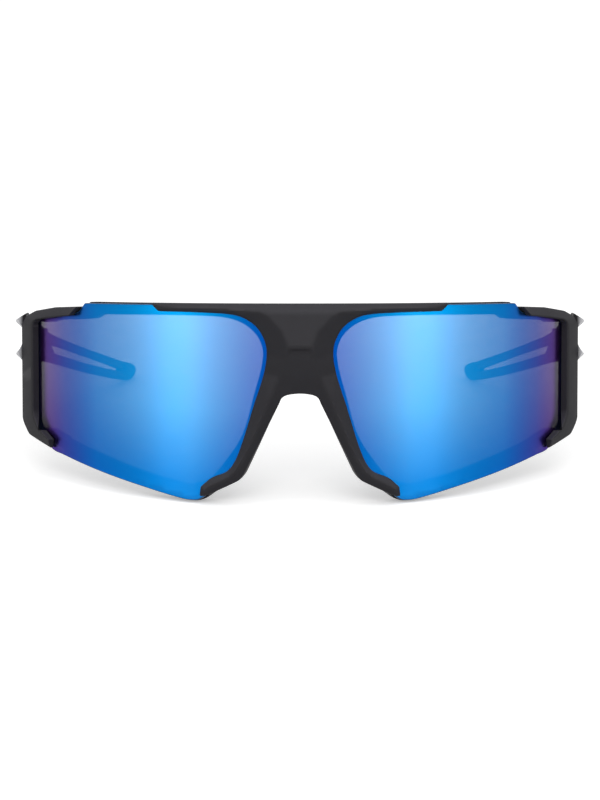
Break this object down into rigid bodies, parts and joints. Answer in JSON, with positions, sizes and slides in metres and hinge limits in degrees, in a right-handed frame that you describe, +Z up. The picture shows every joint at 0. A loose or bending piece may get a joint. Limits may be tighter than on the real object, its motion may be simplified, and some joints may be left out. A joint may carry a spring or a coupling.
{
  "type": "sports sunglasses",
  "caption": "Wrap-around shield sunglasses with a one-piece mirrored lens, a bridge cover, brackets at the ends and folding temple arms, standing open.",
  "frame": {"origin": "on the table, under the middle of the open glasses' width and depth", "axes": "+X to the wearer's left, +Y back from the lens towards the ends of the arms, +Z up; the glasses stand open on the frame's lower corners and on both rubber tips, which leans the lens back"},
  "size_m": [0.1516, 0.1556, 0.0508],
  "materials": {
    "matt_black_plastic": "matt moulded nylon with a fine even grain and slightly burnished edges",
    "blue_mirror_lens": "polished polycarbonate, warm grey tint under a blue mirror coating that turns violet towards the ends",
    "soft_black_rubber": "soft matt rubber",
    "stainless_steel": "turned stainless steel",
    "brass": "turned brass"
  },
  "bodies": {
    "front": {"main_frame": "matt_black_plastic", "shield_lens": "blue_mirror_lens", "bridge_cover": "matt_black_plastic", "bridge_screw_upper": "stainless_steel", "bridge_screw_lower": "stainless_steel", "nose_pad_left": "soft_black_rubber", "nose_pad_right": "soft_black_rubber", "nose_pad_core_left": "stainless_steel", "nose_pad_core_right": "stainless_steel", "hinge_screw_left": "stainless_steel", "hinge_screw_right": "stainless_steel", "hinge_washer_left": "stainless_steel", "hinge_washer_right": "stainless_steel", "hinge_nut_left": "brass", "hinge_nut_right": "brass"},
    "left_arm": {"temple_arm_left": "matt_black_plastic", "temple_tip_left": "soft_black_rubber", "hinge_bush_left": "brass"},
    "right_arm": {"temple_arm_right": "matt_black_plastic", "temple_tip_right": "soft_black_rubber", "hinge_bush_right": "brass"}
  },
  "joints": [
    {"name": "left_arm_fold", "type": "hinge", "parent": "front", "child": "left_arm", "pos_m": [0.06943, -0.03038, 0.0324], "axis": [0, 0.1498, 0.9887], "range_deg": [0, 90]},
    {"name": "right_arm_fold", "type": "hinge", "parent": "front", "child": "right_arm", "pos_m": [-0.06943, -0.03038, 0.0324], "axis": [0, -0.1498, -0.9887], "range_deg": [0, 78]}
  ]
}
